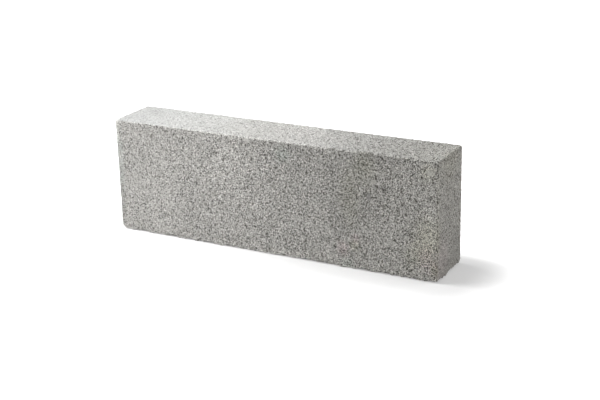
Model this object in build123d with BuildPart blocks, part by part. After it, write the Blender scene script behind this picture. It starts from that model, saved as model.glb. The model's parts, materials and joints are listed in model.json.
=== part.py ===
from build123d import *
from math import cos, radians, sin, sqrt
import os

# Granite kerb stone: one block of grey granite, 150 x 300 mm in section and 900 mm long.
# It stands on its narrow underside, as it is laid. The road face is rough-dressed and the top is dressed
# finer, the two ends are sawn square, and every arris is rubbed down to a small round. Handling has
# knocked shallow, shell-shaped flakes off the arrises, most of them along the underside.
#
# X runs along the stone, Y from the road face (-Y) to the back face (+Y), and Z up from the underside.
# The origin is the middle of the underside. Lengths are millimetres.

# The block
length = 900.0
width = 150.0
height = 300.0

# The rounds: the top arris on the road side, which is left in view, and the other eleven
road_round = 5.0
arris_round = 3.0

# The flakes: the longest along its arris, and the deepest below the round that it bites into
flake_length = 90.0
flake_depth = 5.0

# The broken corners: the widest, and the deepest below the round corner
corner_length = 40.0
corner_depth = 6.0

# Flakes on each arris: place along it from its middle, length, depth, and the lean of the blow in degrees,
# from 0 where the flake lies in the upright face to 90 where it lies in the level face
road_foot_shares = [
    (-0.430, 0.46, 0.28, 40),
    (-0.262, 0.30, 0.20, 30),
    (-0.118, 0.52, 0.26, 35),
    (0.028, 0.24, 0.22, 50),
    (0.120, 0.34, 0.34, 42),
    (0.350, 0.36, 0.40, 38),
    (0.480, 0.44, 0.56, 44),
]
back_foot_shares = [
    (-0.402, 0.52, 0.52, 45),
    (-0.215, 0.36, 0.26, 35),
    (-0.034, 0.78, 0.48, 42),
    (0.148, 0.30, 0.30, 55),
    (0.296, 0.56, 0.36, 38),
    (0.418, 0.34, 0.44, 48),
]
right_foot_shares = [
    (-0.180, 0.34, 0.24, 40),
    (0.290, 0.52, 0.50, 42),
]
left_foot_shares = [
    (0.010, 0.50, 0.42, 45),
    (0.380, 0.30, 0.30, 38),
]
road_top_shares = [
    (-0.352, 0.24, 0.16, 50),
    (-0.061, 0.26, 0.14, 40),
    (0.243, 0.22, 0.20, 55),
    (0.441, 0.24, 0.26, 48),
]
back_top_shares = [
    (-0.287, 0.22, 0.18, 45),
    (0.094, 0.18, 0.16, 50),
    (0.365, 0.26, 0.20, 42),
]

# Broken corners: the end, face and level that meet there, the width and the depth
corner_shares = [
    (-1, -1, -1, 0.90, 0.70),
    (1, 1, -1, 1.00, 1.00),
    (-1, 1, -1, 0.80, 0.85),
    (1, -1, -1, 0.35, 0.25),
    (1, -1, 1, 0.55, 0.50),
    (1, 1, 1, 0.45, 0.40),
]

half_length = length / 2
half_width = width / 2
half_height = height / 2

right, left = Vector(1, 0, 0), Vector(-1, 0, 0)
road, back = Vector(0, -1, 0), Vector(0, 1, 0)
up, down = Vector(0, 0, 1), Vector(0, 0, -1)


def ball(corner, outward, relief, chord, depth):
    """Centre and radius of a ball that bites so deep below the round, over that chord of the corner."""
    bite = relief + depth
    radius = (chord**2 / 4 + bite**2) / (2 * bite)
    return corner + outward.normalized() * (radius - bite), radius


def arris_balls(middle, span, upright, level, arris, shares):
    """Balls along the arris where the face that looks along upright meets the one along level."""
    relief = arris * (sqrt(2) - 1)
    for place, long, deep, lean in shares:
        outward = upright * cos(radians(lean)) + level * sin(radians(lean))
        yield ball(middle + span * place, outward, relief, flake_length * long, flake_depth * deep)


def corner_balls(shares):
    """Balls at the corners where an end, a long face and the top or the underside meet."""
    relief = arris_round * (sqrt(3) - 1)
    for end, face, level, long, deep in shares:
        corner = Vector(end * half_length, face * half_width, half_height + level * half_height)
        outward = Vector(end, face, level)
        yield ball(corner, outward, relief, corner_length * long, corner_depth * deep)


balls = [
    *arris_balls(road * half_width, right * length, road, down, arris_round, road_foot_shares),
    *arris_balls(back * half_width, right * length, back, down, arris_round, back_foot_shares),
    *arris_balls(right * half_length, back * width, right, down, arris_round, right_foot_shares),
    *arris_balls(left * half_length, back * width, left, down, arris_round, left_foot_shares),
    *arris_balls(road * half_width + up * height, right * length, road, up, road_round, road_top_shares),
    *arris_balls(back * half_width + up * height, right * length, back, up, arris_round, back_top_shares),
    *corner_balls(corner_shares),
]

with BuildPart() as kerb_stone:
    # The block, cut to length from a slab whose road arris is rounded
    with BuildSketch(Plane.YZ.offset(-half_length)):
        Rectangle(width, height, align=(Align.CENTER, Align.MIN))
        top_corners = vertices().group_by(Axis.Y)[-1]
        fillet(top_corners.sort_by(Axis.X)[0], radius=road_round)
    extrude(amount=length)

    # The other arrises rubbed down: both of the foot, the back one of the top, and those round the ends
    long_arrises = edges().filter_by(Axis.X).group_by(Axis.Z)
    back_top = long_arrises[-1].sort_by(Axis.Y)[-1]
    end_arrises = edges().filter_by(Axis.X, reverse=True)
    fillet(long_arrises[0] + [back_top] + end_arrises, radius=arris_round)

    # The flakes and broken corners, each the hollow shell that one blow leaves
    for centre, radius in balls:
        with Locations(centre):
            Sphere(radius, mode=Mode.SUBTRACT)

kerb_stone.part.label = "kerb_stone"

os.makedirs("parts", exist_ok=True)
export_step(kerb_stone.part, "parts/kerb_stone.step")
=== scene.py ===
import json
import math
import bpy
import numpy as np
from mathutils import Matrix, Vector

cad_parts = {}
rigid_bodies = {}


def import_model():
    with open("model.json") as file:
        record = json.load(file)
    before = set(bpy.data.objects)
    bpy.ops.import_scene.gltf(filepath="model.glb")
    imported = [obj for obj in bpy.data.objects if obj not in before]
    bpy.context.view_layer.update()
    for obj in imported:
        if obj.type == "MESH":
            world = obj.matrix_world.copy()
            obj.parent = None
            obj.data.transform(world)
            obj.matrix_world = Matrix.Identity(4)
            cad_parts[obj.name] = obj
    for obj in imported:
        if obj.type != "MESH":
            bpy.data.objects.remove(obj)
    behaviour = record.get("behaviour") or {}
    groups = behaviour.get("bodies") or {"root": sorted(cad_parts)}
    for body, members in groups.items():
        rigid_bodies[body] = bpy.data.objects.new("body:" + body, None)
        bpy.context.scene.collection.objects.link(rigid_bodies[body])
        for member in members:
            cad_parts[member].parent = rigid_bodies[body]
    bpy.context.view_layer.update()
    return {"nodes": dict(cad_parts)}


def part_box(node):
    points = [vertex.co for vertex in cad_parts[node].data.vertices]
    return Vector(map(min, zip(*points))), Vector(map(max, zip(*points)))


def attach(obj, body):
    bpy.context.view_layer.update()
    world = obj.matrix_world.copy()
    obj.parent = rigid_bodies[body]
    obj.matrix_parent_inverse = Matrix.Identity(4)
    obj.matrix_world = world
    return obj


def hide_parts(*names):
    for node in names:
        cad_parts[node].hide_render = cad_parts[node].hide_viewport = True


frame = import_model()

low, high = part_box("kerb_stone")
size = high - low  # length along X, width along Y, height along Z, in metres
print("frame loaded, stone", [round(side, 3) for side in size])

# The faces that the material's marks are placed from, in millimetres
endX = round(high.x * 1000)
roadY = round(low.y * 1000)
topZ = round(high.z * 1000)


# Small helpers for working on one object at a time

def pickOnly(piece):
    if bpy.context.object and bpy.context.object.mode != "OBJECT":
        bpy.ops.object.mode_set(mode="OBJECT")
    bpy.ops.object.select_all(action="DESELECT")
    piece.select_set(True)
    bpy.context.view_layer.objects.active = piece


def useModifier(piece, kind, **settings):
    pickOnly(piece)
    modifier = piece.modifiers.new(kind.lower(), kind)
    for name, value in settings.items():
        setattr(modifier, name, value)
    bpy.ops.object.modifier_apply(modifier=modifier.name)


# The stone: the block's own mesh, cut fine, then dressed with the hammer on its faces

stone = {
    "name": "granite_block",
    "mergeGap": 0.00001,      # the block's loose triangles are joined first
    "voxel": 0.0019,          # how fine the block is cut before it is dressed
    "faces": 190000,          # triangles left at the end
    "sway": 0.0005,           # slow wander of a face, which was sawn and then dressed
    "swaySize": 0.055,
    "picks": 0.0014,          # depth of the hammer's marks
    "pickSize": 0.0062,
    "pits": 0.0010,           # depth of the small pits between them
    "pitSize": 0.0036,
    "roundZone": 0.006,       # how far from an arris the nicks reach
    "nicks": 0.0014,          # depth of the nicks along the arrises
    "nickSize": 0.0075,
    "calmShare": 0.5,         # how much shallower a face is dressed right beside an arris
    "footZone": 0.009,        # how far from the foot's arrises the flakes reach
    "flakes": 0.0085,         # height of the ragged flakes along the foot
    "flakeSize": 0.015,
    "footNickShare": 0.5,     # the nicks are this deep where the flakes are
    "weightSteps": 24,        # steps in which the depth fades
}

# How deep each face is dressed, as a share of the depths above
dressing = {"road": 1.0, "back": 0.9, "top": 0.75, "foot": 0.45, "left": 0.2, "right": 0.2}


def faceGaps(spots):
    # how far each vertex lies below each face of the block
    return {
        "left": spots[:, 0] - low.x, "right": high.x - spots[:, 0],
        "road": spots[:, 1] - low.y, "back": high.y - spots[:, 1],
        "foot": spots[:, 2] - low.z, "top": high.z - spots[:, 2],
    }


def readSpots(piece):
    spots = np.empty(len(piece.data.vertices) * 3)
    piece.data.vertices.foreach_get("co", spots)
    return spots.reshape(-1, 3)


def weightGroup(piece, name, weights):
    group = piece.vertex_groups.new(name=name)
    steps = stone["weightSteps"]
    levels = np.rint(weights * steps).astype(int)
    for level in range(1, steps + 1):
        chosen = np.nonzero(levels == level)[0].tolist()
        if chosen:
            group.add(chosen, level / steps, "REPLACE")
    return group.name


def reliefTexture(name, kind, grain, **settings):
    texture = bpy.data.textures.new(name, kind)
    texture.noise_scale = grain
    for setting, value in settings.items():
        setattr(texture, setting, value)
    return texture


def cutBlock():
    block = frame["nodes"]["kerb_stone"]
    pickOnly(block)
    bpy.ops.object.duplicate()
    piece = bpy.context.object
    piece.name = stone["name"]
    bpy.ops.object.parent_clear(type="CLEAR_KEEP_TRANSFORM")
    for key in [key for key in piece.keys() if key.startswith("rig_")]:
        del piece[key]
    bpy.ops.object.mode_set(mode="EDIT")
    bpy.ops.mesh.select_all(action="SELECT")
    bpy.ops.mesh.remove_doubles(threshold=stone["mergeGap"])
    bpy.ops.object.mode_set(mode="OBJECT")
    piece.data.materials.clear()
    useModifier(piece, "REMESH", mode="VOXEL", voxel_size=stone["voxel"], adaptivity=0.0)
    print("block cut fine,", len(piece.data.vertices), "vertices")
    return piece


def dressBlock(piece):
    gaps = faceGaps(readSpots(piece))
    names = list(gaps)
    table = np.stack([gaps[name] for name in names])
    second = np.sort(table, axis=0)[1]  # the gap to the second nearest face is small only at an arris
    nearest = np.argmin(table, axis=0)
    depth = np.array([dressing[name] for name in names])[nearest]
    arris = np.clip(1 - second / stone["roundZone"], 0, 1)
    footEdge = np.clip(1 - np.maximum(gaps["foot"], second) / stone["footZone"], 0, 1)

    faces = weightGroup(piece, "dressed faces", depth * (1 - stone["calmShare"] * arris))
    nicked = np.where(footEdge > 0, stone["footNickShare"] * arris, arris)
    arrises = weightGroup(piece, "arrises", nicked)
    foot = weightGroup(piece, "foot arrises", footEdge)

    # the flakes lift the foot's edge, and everything else is knocked inwards
    lifts = reliefTexture("flakes", "CLOUDS", stone["flakeSize"], noise_depth=2, contrast=3.0, intensity=0.95)
    useModifier(piece, "DISPLACE", texture=lifts, texture_coords="LOCAL", vertex_group=foot, direction="Z",
                strength=stone["flakes"], mid_level=0.0)
    print("  flaked along the foot")
    relief = [
        ("sway", "CLOUDS", stone["swaySize"], faces, {"noise_depth": 1}),
        ("picks", "VORONOI", stone["pickSize"], faces, {"contrast": 1.6}),
        ("pits", "CLOUDS", stone["pitSize"], faces, {"noise_depth": 2, "contrast": 1.6}),
        ("nicks", "CLOUDS", stone["nickSize"], arrises, {"noise_depth": 2, "contrast": 2.2}),
    ]
    for name, kind, grain, group, settings in relief:
        texture = reliefTexture(name, kind, grain, **settings)
        useModifier(piece, "DISPLACE", texture=texture, texture_coords="LOCAL", vertex_group=group,
                    strength=-stone[name], mid_level=0.0)
        print("  dressed with", name)


def finishBlock(piece):
    piece.vertex_groups.clear()
    share = stone["faces"] / (2 * len(piece.data.polygons))
    useModifier(piece, "DECIMATE", decimate_type="COLLAPSE", ratio=min(1.0, share))
    pickOnly(piece)
    bpy.ops.object.shade_smooth()
    print("block finished,", len(piece.data.polygons), "faces")


def trimBlock(piece):
    # no crumb may stand out beyond the sawn size
    kept = np.clip(readSpots(piece), low, high)
    piece.data.vertices.foreach_set("co", kept.ravel())
    piece.data.update()


kerb = cutBlock()
dressBlock(kerb)
finishBlock(kerb)
trimBlock(kerb)


# Granite, as nodes. Lengths inside the material are millimetres

granite = {
    "grain": 1.7,             # size of the feldspar and quartz grains
    "grainPull": (1.2, 1.2, 1.0),    # grains stand a little upright
    "darkQuartz": (0.130, 0.122, 0.106),
    "quartz": (0.370, 0.360, 0.336),
    "greyFeldspar": (0.588, 0.576, 0.547),
    "whiteFeldspar": (0.850, 0.839, 0.810),
    # where in the mix of the grains each colour is reached
    "grainStops": [(0.14, "darkQuartz"), (0.32, "quartz"), (0.55, "greyFeldspar"), (0.82, "whiteFeldspar")],
    "warp": 1.8,              # how far the grain boundaries wander
    "warpSize": 2.0,
    "crystal": 5.0,           # spacing of the larger feldspar crystals
    "crystalShare": 0.25,     # how many of the cells hold one
    "crystalRadius": 0.36,    # radii are shares of the spacing
    "crystalEdge": 0.08,
    "crystalPaleness": 0.45,
    "mica": (0.019, 0.016, 0.011),
    "fleck": 2.5,             # spacing of the dark mica flecks
    "fleckShare": 0.62,
    "fleckRadius": (0.28, 0.50),
    "clot": 7.5,              # spacing of the larger clots of mica
    "clotShare": 0.60,
    "clotRadius": (0.24, 0.44),
    "clotDepth": 0.85,        # how dark a clot is, as a share of the mica itself
    "speckEdge": 0.05,        # softness of the edge of flecks and clots
    "heldEdge": 0.02,         # softness of the choice of the cells that hold something
    "plainGrainTone": (0.515, 0.503, 0.475),   # what the grains come to between the specks of mica
    # how far the grains and the specks stand out from that plain tone on each kind of face, at the left end
    # and at the right end; the road face is clear from its middle on. They are muted where the light is
    # brightest and clearer where it grazes: painted light on the grain, not a change in the stone
    "grainShows": {"road": (0.62, 1.0), "top": (0.26, 1.13), "end": (0.60, 1.0)},
    "specksShow": {"road": (1.0, 1.0), "top": (0.52, 1.12), "end": (0.60, 0.88)},
    # on an end, the heights where the saw's smear begins and stops, and how much shows in it
    "sawSmear": (15, 120, 0.68),
    "topEdge": (4.0, 2.0),    # how far below the top its finer dressing begins and is complete
    "endEdge": (3.0, 1.2),    # the same at the sawn ends
    # tints from the left end to the right end: the road face's are its colour; the top's lighten and darken
    # it along its length as painted light and shade, with a little colour; the ends' darken them as painted
    # shade, with a little colour
    "roadTints": [(0.0, (0.990, 0.988, 0.991)), (0.3, (1.010, 1.007, 1.008)), (1.0, (1.012, 1.008, 0.993))],
    "endTintsAndPaintedShade": [(0.0, (0.795, 0.802, 0.813)), (1.0, (0.855, 0.846, 0.828))],
    "topTintsAndPaintedLight": [(0.0, (0.81, 0.831, 0.863)), (0.15, (0.911, 0.936, 0.962)), (0.3, (0.979, 0.999, 1.019)),
                 (0.45, (0.961, 0.968, 0.977)), (0.57, (1.085, 1.09, 1.104)), (0.75, (0.905, 0.911, 0.915)),
                 (1.0, (0.918, 0.921, 0.902))],
    "streakPull": (1.0, 1.0, 0.12),  # the saw's streaks stand upright
    "streakSize": 3.5,
    "streakTone": (0.86, 1.14),
    "driftSize": 70.0,        # slow drift of the tone over the block
    "driftTone": (0.96, 1.04),
    "noiseSpan": (0.3, 0.7),  # the levels that a noise seldom leaves
    "markCore": 0.15,         # share of a mark's reach where it is at its full strength
    "bruiseCore": 0.5,
    "bruiseDepth": 0.8,
    "roughness": (0.72, 0.95),
    "specular": 0.35,
    "skin": 0.0016,           # height of the crushed skin, in metres
    "topSkin": 0.9,           # shares of it on the top and the ends
    "endSkin": 0.6,
    "crumb": 1.3,             # size of the crumbs in the skin
    "crumbRoughness": 0.65,
    "crystalLift": 0.35,      # how far the broken crystals step up and down beside them
}

# Faint stains of weather and use, with a painted highlight on the right end's upright arris and a painted
# shade near the top's left corner: place and reach in millimetres, then the tint at the middle
stains = [
    ("ochre_run", (224, roadY, 185), (42, 40, 115), (0.985, 0.987, 0.94)),
    ("olive_patch", (262, roadY, 265), (42, 40, 60), (0.975, 0.985, 0.928)),
    ("ochre_spot", (420, roadY, 262), (30, 30, 30), (0.985, 0.99, 0.955)),
    ("ochre_corner", (425, roadY, 105), (58, 40, 85), (0.985, 0.985, 0.92)),
    ("rust_corner", (422, roadY, 55), (32, 20, 50), (1.012, 0.958, 0.975)),
    ("ochre_foot", (388, roadY, 62), (34, 30, 50), (0.98, 0.985, 0.94)),
    ("olive_spot", (444, roadY, 32), (17, 14, 34), (0.92, 0.90, 0.84)),
    ("rust_foot", (endX, -42, 50), (20, 55, 85), (1.092, 1.046, 1.073)),
    ("rust_spot", (203, roadY, 49), (25, 25, 28), (1.04, 0.957, 0.985)),
    ("rust_speck", (237, roadY, 79), (20, 20, 18), (1.03, 0.96, 0.975)),
    ("ochre_speck", (235, roadY, 61), (20, 20, 22), (0.995, 1.0, 0.935)),
    ("green_spot", (214, roadY, 12), (30, 30, 18), (0.94, 0.99, 0.97)),
    ("green_patch", (42, roadY, 268), (34, 30, 30), (0.945, 0.995, 0.975)),
    ("green_corner", (-446, roadY, 190), (26, 40, 150), (0.975, 1.01, 1.01)),
    ("pale_corner", (425, roadY, 276), (28, 30, 25), (1.34, 1.33, 1.29)),
    ("pale_knot", (273, roadY, 212), (18, 20, 18), (1.08, 1.08, 1.06)),
    ("ochre_end", (endX, 0, 282), (12, 90, 75), (0.996, 0.999, 0.958)),
    # painted highlight along the right end's upright arris, whose rounded edge lies in shade
    ("painted_highlight_arris", (endX, roadY + 2, 190), (9, 13, 200), (1.20, 1.20, 1.18)),
    ("shaded_top_corner", (-412, 32, topZ), (58, 62, 4), (0.94, 0.94, 0.935)),
]

# Painted light and shade, without a colour of their own: lighter patches, and bright arrises and corners
# where the light catches them, then darker patches and edges where shade falls; place and reach, then the
# tone at the middle
paintedLightAndShade = [
    # painted light: lighter patches on the road face
    ("painted_light_patch", (-125, roadY, 205), (240, 40, 190), 1.075),
    ("painted_light_patch", (-105, roadY, 255), (80, 30, 65), 1.08),
    ("painted_light_patch", (-320, roadY, 90), (85, 30, 125), 1.07),
    ("painted_light_band", (420, roadY, 90), (40, 30, 130), 1.09),
    # painted highlights where the left end's top corners and the road face beside the right end's arris catch
    # the light
    ("painted_highlight_corner", (2 - endX, roadY, 275), (16, 12, 75), 1.38),
    ("painted_highlight_top_corner", (2 - endX, -65, topZ), (16, 42, 4), 1.25),
    ("painted_highlight_beside_arris", (433, roadY, 160), (26, 24, 150), 1.12),
    # painted light on the top, along its front arris and beside the right end's arris
    ("painted_light_top_arris", (330, -52, topZ), (230, 24, 6), 1.05),
    ("pale_corner", (endX + 2, -10, topZ), (46, 110, 6), 1.15),
    # painted light along the foot strip and the foot arris against the shade there, and a painted highlight
    # along the top front arris
    ("painted_light_foot_strip", (180, roadY, 2), (520, 30, 36), 1.11),
    ("painted_highlight_arris", (80, roadY + 1, topZ - 1), (900, 6, 5.8), 1.25),
    ("painted_light_foot_arris", (0, roadY, 0), (1000, 7, 9), 1.20),
    ("shaded_patch", (235, roadY, 228), (130, 50, 130), 0.87),
    ("shaded_patch", (50, roadY, 258), (70, 30, 65), 0.92),
    ("shaded_patch", (228, roadY, 138), (80, 30, 70), 0.88),
    ("shaded_edge", (60, roadY, topZ - 8), (150, 8, 20), 0.92),
    ("shaded_edge", (330, roadY, topZ - 8), (170, 8, 20), 0.85),
    ("shaded_edge", (-290, roadY, topZ - 9), (110, 8, 16), 0.95),
    ("shaded_edge", (4 - endX, roadY, 85), (15, 60, 130), 0.85),
    ("shaded_edge", (endX + 2, 20, topZ - 7.5), (5, 130, 11), 0.81),
    ("shaded_arris", (443, roadY, 88), (12, 14, 55), 0.92),
    ("shaded_foot", (endX, 52, 50), (20, 55, 85), 0.88),
]

# Spots where the stone is crushed smooth: place and reach in millimetres, then their own colour
bruises = [
    ("crushed_corner", (428, roadY, 270), (14, 12, 10), (0.620, 0.610, 0.560)),
    ("crushed_knot", (287, roadY, 230), (8, 10, 7), (0.560, 0.550, 0.505)),
    ("smooth_grain", (274, roadY, 191), (8, 10, 12), (0.326, 0.316, 0.304)),
    ("crushed_top_corner", (442, -36, topZ), (14, 12, 6), (0.440, 0.440, 0.410)),
    ("crushed_arris", (414, -57, topZ), (16, 9, 6), (0.450, 0.441, 0.420)),
]


def addNode(tree, kind, **settings):
    node = tree.nodes.new(kind)
    for name, value in settings.items():
        setattr(node, name, value)
    return node


def feed(tree, socket, value):
    # a number or a colour is set on the socket, and another node's output is linked to it
    if isinstance(value, tuple):
        socket.default_value = (*value, 1.0) if len(socket.default_value) == 4 else value
    elif isinstance(value, (int, float)):
        socket.default_value = value
    else:
        tree.links.new(value, socket)


def math2(tree, operation, first, second=None, clamp=False):
    node = addNode(tree, "ShaderNodeMath", operation=operation, use_clamp=clamp)
    feed(tree, node.inputs[0], first)
    if second is not None:
        feed(tree, node.inputs[1], second)
    return node.outputs[0]


def mapRange(tree, value, fromMin, fromMax, toMin=0.0, toMax=1.0, smooth=False):
    node = addNode(tree, "ShaderNodeMapRange", interpolation_type="SMOOTHSTEP" if smooth else "LINEAR")
    tree.links.new(value, node.inputs["Value"])
    for name, number in (("From Min", fromMin), ("From Max", fromMax), ("To Min", toMin), ("To Max", toMax)):
        node.inputs[name].default_value = number
    return node.outputs["Result"]


def blend(tree, factor, first, second):
    node = addNode(tree, "ShaderNodeMix", data_type="FLOAT")
    for socket, value in zip((node.inputs[0], node.inputs[2], node.inputs[3]), (factor, first, second)):
        feed(tree, socket, value)
    return node.outputs[0]


def mixColour(tree, factor, first, second, kind="MIX"):
    node = addNode(tree, "ShaderNodeMix", data_type="RGBA", blend_type=kind)
    for socket, value in zip((node.inputs[0], node.inputs[6], node.inputs[7]), (factor, first, second)):
        feed(tree, socket, value)
    return node.outputs[2]


def vectorMath(tree, operation, first, second):
    node = addNode(tree, "ShaderNodeVectorMath", operation=operation)
    feed(tree, node.inputs[0], first)
    feed(tree, node.inputs["Scale"] if operation == "SCALE" else node.inputs[1], second)
    return node.outputs["Vector"]


def noise(tree, place, grain, detail=2.0, roughness=0.5):
    node = addNode(tree, "ShaderNodeTexNoise")
    tree.links.new(place, node.inputs["Vector"])
    node.inputs["Scale"].default_value = 1.0 / grain
    node.inputs["Detail"].default_value = detail
    node.inputs["Roughness"].default_value = roughness
    return node


def cells(tree, place, grain):
    node = addNode(tree, "ShaderNodeTexVoronoi")
    tree.links.new(place, node.inputs["Vector"])
    node.inputs["Scale"].default_value = 1.0 / grain
    return node


def colourRamp(tree, value, stops):
    node = addNode(tree, "ShaderNodeValToRGB")
    tree.links.new(value, node.inputs[0])
    elements = node.color_ramp.elements
    for place, colour in stops[2:]:
        elements.new(place)
    for element, (place, colour) in zip(elements, stops):
        element.position = place
        element.color = (*colour, 1)
    return node.outputs["Color"]


def splitColour(tree, colour):
    node = addNode(tree, "ShaderNodeSeparateColor")
    tree.links.new(colour, node.inputs[0])
    return node.outputs


def heldCells(tree, chance, share):
    # one in the cells that hold something, and nothing in the others
    return mapRange(tree, chance, 1 - share, 1 + granite["heldEdge"] - share)


def specks(tree, place, name, depth):
    # round specks of mica, each of its own size, in some of the cells
    speckCells = cells(tree, place, granite[name])
    chance = splitColour(tree, speckCells.outputs["Color"])
    radius = mapRange(tree, chance[1], 0.0, 1.0, *granite[name + "Radius"])
    reach = math2(tree, "MULTIPLY", heldCells(tree, chance[0], granite[name + "Share"]), radius)
    inside = math2(tree, "SUBTRACT", reach, speckCells.outputs["Distance"])
    return mapRange(tree, inside, 0.0, granite["speckEdge"], 0.0, depth)


def crystalMask(tree, place):
    crystals = cells(tree, place, granite["crystal"])
    chance = splitColour(tree, crystals.outputs["Color"])
    inside = math2(tree, "SUBTRACT", granite["crystalRadius"], crystals.outputs["Distance"])
    shape = mapRange(tree, inside, 0.0, granite["crystalEdge"])
    held = math2(tree, "MULTIPLY", shape, heldCells(tree, chance[0], granite["crystalShare"]))
    return math2(tree, "MULTIPLY", held, granite["crystalPaleness"])


def acrossFaces(tree, spot, onTop, onEnd, levels):
    # one level for each kind of face, from the left end to the right end
    road = mapRange(tree, spot.outputs[0], -endX, 0, *levels["road"])
    top = mapRange(tree, spot.outputs[0], -endX, endX, *levels["top"])
    end = mapRange(tree, spot.outputs[0], -endX, endX, *levels["end"])
    smearLow, smearHigh, smear = granite["sawSmear"]
    end = math2(tree, "MULTIPLY", end, mapRange(tree, spot.outputs[2], smearLow, smearHigh, smear, 1.0))
    return blend(tree, onEnd, blend(tree, onTop, road, top), end)


def closeness(tree, place, name, centre, reach, core):
    # one inside the core of a mark, fading to nothing at its reach
    away = vectorMath(tree, "DIVIDE", vectorMath(tree, "SUBTRACT", place, centre), reach)
    far = addNode(tree, "ShaderNodeVectorMath", operation="LENGTH", label=name)
    tree.links.new(away, far.inputs[0])
    return mapRange(tree, far.outputs["Value"], 1.0, core, smooth=True)


def graniteMaterial():
    material = bpy.data.materials.new("dressed_grey_granite")
    material.use_nodes = True
    tree = material.node_tree
    shader = tree.nodes["Principled BSDF"]
    shader.inputs["Specular IOR Level"].default_value = granite["specular"]

    coords = addNode(tree, "ShaderNodeTexCoord")
    mm = vectorMath(tree, "SCALE", coords.outputs["Object"], 1000)
    spot = addNode(tree, "ShaderNodeSeparateXYZ")
    tree.links.new(mm, spot.inputs[0])
    along = mapRange(tree, spot.outputs[0], -endX, endX)

    # which kind of face a spot is on
    onTop = mapRange(tree, spot.outputs[2], *[topZ - gap for gap in granite["topEdge"]])
    fromMiddle = math2(tree, "ABSOLUTE", spot.outputs[0])
    onEnd = mapRange(tree, fromMiddle, *[endX - gap for gap in granite["endEdge"]])

    # grain boundaries wander, so the cells are read through a warped place
    shift = noise(tree, mm, granite["warpSize"], 2.0).outputs["Color"]
    shift = vectorMath(tree, "SCALE", vectorMath(tree, "SUBTRACT", shift, (0.5, 0.5, 0.5)), granite["warp"])
    warped = vectorMath(tree, "ADD", mm, shift)
    pulled = vectorMath(tree, "MULTIPLY", warped, granite["grainPull"])

    # feldspar and quartz grains with a few larger crystals, muted towards a plain tone where the light is
    # brightest: painted light on the grain
    chance = splitColour(tree, cells(tree, pulled, granite["grain"]).outputs["Color"])
    colour = colourRamp(tree, chance[0], [(share, granite[name]) for share, name in granite["grainStops"]])
    colour = mixColour(tree, crystalMask(tree, pulled), colour, granite["whiteFeldspar"])
    shown = acrossFaces(tree, spot, onTop, onEnd, granite["grainShows"])
    colour = mixColour(tree, shown, granite["plainGrainTone"], colour)

    # dark flecks and clots of mica over them
    mica = math2(tree, "MAXIMUM", specks(tree, pulled, "fleck", 1.0),
                 specks(tree, pulled, "clot", granite["clotDepth"]))
    # the specks too are muted where the light is brightest: painted light
    shown = acrossFaces(tree, spot, onTop, onEnd, granite["specksShow"])
    colour = mixColour(tree, math2(tree, "MULTIPLY", mica, shown), colour, granite["mica"])

    # each kind of face has its own tint; on the top it also holds painted light and shade, and on the ends
    # painted shade
    roadTint, topTintAndPaintedLight, endTintAndPaintedShade = [colourRamp(tree, along, granite[name])
                                  for name in ("roadTints", "topTintsAndPaintedLight", "endTintsAndPaintedShade")]
    tint = mixColour(tree, onEnd, mixColour(tree, onTop, roadTint, topTintAndPaintedLight), endTintAndPaintedShade)
    colour = mixColour(tree, 1.0, colour, tint, "MULTIPLY")

    # the saw leaves faint upright streaks on the ends
    strokes = noise(tree, vectorMath(tree, "MULTIPLY", mm, granite["streakPull"]), granite["streakSize"], 2.0)
    streaked = mapRange(tree, strokes.outputs["Fac"], *granite["noiseSpan"], *granite["streakTone"])
    colour = vectorMath(tree, "SCALE", colour, blend(tree, onEnd, 1.0, streaked))

    # tone drifts slowly over the block
    drift = noise(tree, mm, granite["driftSize"], 3.0)
    driftTone = mapRange(tree, drift.outputs["Fac"], *granite["noiseSpan"], *granite["driftTone"])
    colour = vectorMath(tree, "SCALE", colour, driftTone)

    # the stains, with a painted highlight and a painted shade among them
    for name, centre, reach, tint in stains:
        near = closeness(tree, mm, name, centre, reach, granite["markCore"])
        colour = mixColour(tree, near, colour, tint, "MULTIPLY")
    # painted light and shade laid over the colour
    for name, centre, reach, tone in paintedLightAndShade:
        near = closeness(tree, mm, name, centre, reach, granite["markCore"])
        colour = vectorMath(tree, "SCALE", colour, blend(tree, near, 1.0, tone))
    for name, centre, reach, paint in bruises:
        near = closeness(tree, warped, name, centre, reach, granite["bruiseCore"])
        colour = mixColour(tree, math2(tree, "MULTIPLY", near, granite["bruiseDepth"]), colour, paint)
    tree.links.new(colour, shader.inputs["Base Color"])

    # cleavage faces of the grains shine a little more than the crushed stone between them
    tree.links.new(mapRange(tree, chance[1], 0.0, 1.0, *granite["roughness"]), shader.inputs["Roughness"])

    # the crushed skin: broken crystals with crumbs between them
    crumbs = noise(tree, mm, granite["crumb"], 3.0, granite["crumbRoughness"])
    steps = math2(tree, "MULTIPLY", chance[2], granite["crystalLift"])
    height = math2(tree, "ADD", steps, crumbs.outputs["Fac"])
    bump = addNode(tree, "ShaderNodeBump")
    bump.inputs["Distance"].default_value = granite["skin"]
    skin = blend(tree, onEnd, blend(tree, onTop, 1.0, granite["topSkin"]), granite["endSkin"])
    tree.links.new(skin, bump.inputs["Strength"])
    tree.links.new(height, bump.inputs["Height"])
    tree.links.new(bump.outputs["Normal"], shader.inputs["Normal"])
    return material


kerb.data.materials.append(graniteMaterial())
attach(kerb, "root")
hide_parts("kerb_stone")
print("stone dressed and given its granite")


# Floor, surround, lamps and camera, in metres

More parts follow.
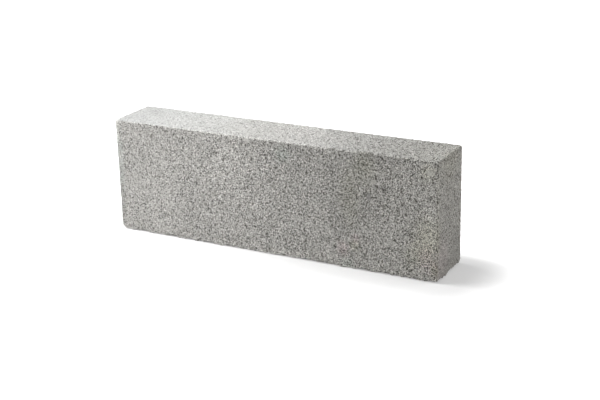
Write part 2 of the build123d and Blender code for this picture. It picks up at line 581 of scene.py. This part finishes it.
studio = {
    "floorSide": 14.0,
    "floorTone": 0.75,
    # the floor's camera-only glow fades towards the stone's foot, so the floor darkens there: painted shade
    # that shapes the floor's shadow along with the real one
    "shadowGlow": 0.275,      # only the camera sees this, close to the stone
    "shadowReach": (0.035, 0.235),  # metres from the foot over which the floor turns plain white
    "pullBehind": 2.5,        # the shadow ends this many times sooner behind the stone
    "surround": 0.3,          # light from all round
    "lamps": [
        # name, place, side, watts
        ("left_softbox", (-1.4, -0.6, 0.9), 1.0, 25.3),
        ("overhead_softbox", (-0.47, 0.0, 1.15), 0.8, 10.4),
        ("back_fill", (1.6, 0.6, 1.0), 1.0, 7.1),
    ],
}

view = {
    "place": (1.5229, -2.6888, 1.1985),
    "turn": (70.735, 1.370, 28.260),  # degrees
    "lens": 78.0,             # millimetres
    "sensor": 36.0,
}


def backgroundRays(tree):
    # one where a camera, mirror or glass ray looks, so that all of them see the plain background
    path = addNode(tree, "ShaderNodeLightPath")
    seen = math2(tree, "ADD", path.outputs["Is Camera Ray"], path.outputs["Is Glossy Ray"], clamp=True)
    return math2(tree, "ADD", seen, path.outputs["Is Transmission Ray"], clamp=True)


def footGap(tree):
    # how far a spot on the floor lies from the stone's foot
    coords = addNode(tree, "ShaderNodeTexCoord")
    split = addNode(tree, "ShaderNodeSeparateXYZ")
    tree.links.new(coords.outputs["Object"], split.inputs[0])
    along = math2(tree, "SUBTRACT", math2(tree, "ABSOLUTE", split.outputs[0]), high.x)
    before = math2(tree, "SUBTRACT", low.y, split.outputs[1])
    behind = math2(tree, "SUBTRACT", split.outputs[1], high.y)
    across = math2(tree, "MAXIMUM", before, math2(tree, "MULTIPLY", behind, studio["pullBehind"]))
    squares = [math2(tree, "POWER", math2(tree, "MAXIMUM", side, 0.0), 2.0) for side in (along, across)]
    return math2(tree, "SQRT", math2(tree, "ADD", *squares))


def makeFloor():
    bpy.ops.object.select_all(action="DESELECT")
    bpy.ops.mesh.primitive_plane_add(size=studio["floorSide"], location=(0, 0, low.z))
    floor = bpy.context.object
    floor.name = "studio_floor"
    material = bpy.data.materials.new("floor_paper")
    material.use_nodes = True
    tree = material.node_tree
    tree.nodes.remove(tree.nodes["Principled BSDF"])
    paper = addNode(tree, "ShaderNodeBsdfDiffuse")
    paper.inputs["Color"].default_value = (*[studio["floorTone"]] * 3, 1)
    glow = addNode(tree, "ShaderNodeEmission")
    # weaker glow close to the foot: painted shade that shapes the shadow there
    level = mapRange(tree, footGap(tree), *studio["shadowReach"], studio["shadowGlow"], 1.0, smooth=True)
    tree.links.new(math2(tree, "MULTIPLY", backgroundRays(tree), level), glow.inputs["Strength"])
    both = addNode(tree, "ShaderNodeAddShader")
    tree.links.new(paper.outputs[0], both.inputs[0])
    tree.links.new(glow.outputs[0], both.inputs[1])
    tree.links.new(both.outputs[0], tree.nodes["Material Output"].inputs["Surface"])
    floor.data.materials.append(material)


def makeSurround():
    world = bpy.data.worlds.new("studio")
    bpy.context.scene.world = world
    world.use_nodes = True
    tree = world.node_tree
    light = tree.nodes["Background"]
    light.inputs["Color"].default_value = (1, 1, 1, 1)
    level = mapRange(tree, backgroundRays(tree), 0.0, 1.0, studio["surround"], 1.0)
    tree.links.new(level, light.inputs["Strength"])


def makeLamps():
    target = (low + high) / 2
    for name, place, side, watts in studio["lamps"]:
        lamp = bpy.data.lights.new(name, "AREA")
        lamp.shape = "SQUARE"
        lamp.size = side
        lamp.energy = watts
        holder = bpy.data.objects.new(name, lamp)
        bpy.context.scene.collection.objects.link(holder)
        holder.location = place
        holder.rotation_euler = (target - Vector(place)).to_track_quat("-Z", "Y").to_euler()
        holder.visible_camera = False


def makeCamera():
    camera = bpy.data.cameras.new("camera")
    camera.lens = view["lens"]
    camera.sensor_width = view["sensor"]
    holder = bpy.data.objects.new("camera", camera)
    bpy.context.scene.collection.objects.link(holder)
    holder.location = view["place"]
    holder.rotation_euler = [math.radians(angle) for angle in view["turn"]]
    bpy.context.scene.camera = holder


makeFloor()
makeSurround()
print("floor and surround ready")
makeLamps()
makeCamera()
print("lamps and camera ready")

scene = bpy.context.scene
scene.view_settings.view_transform = "Standard"
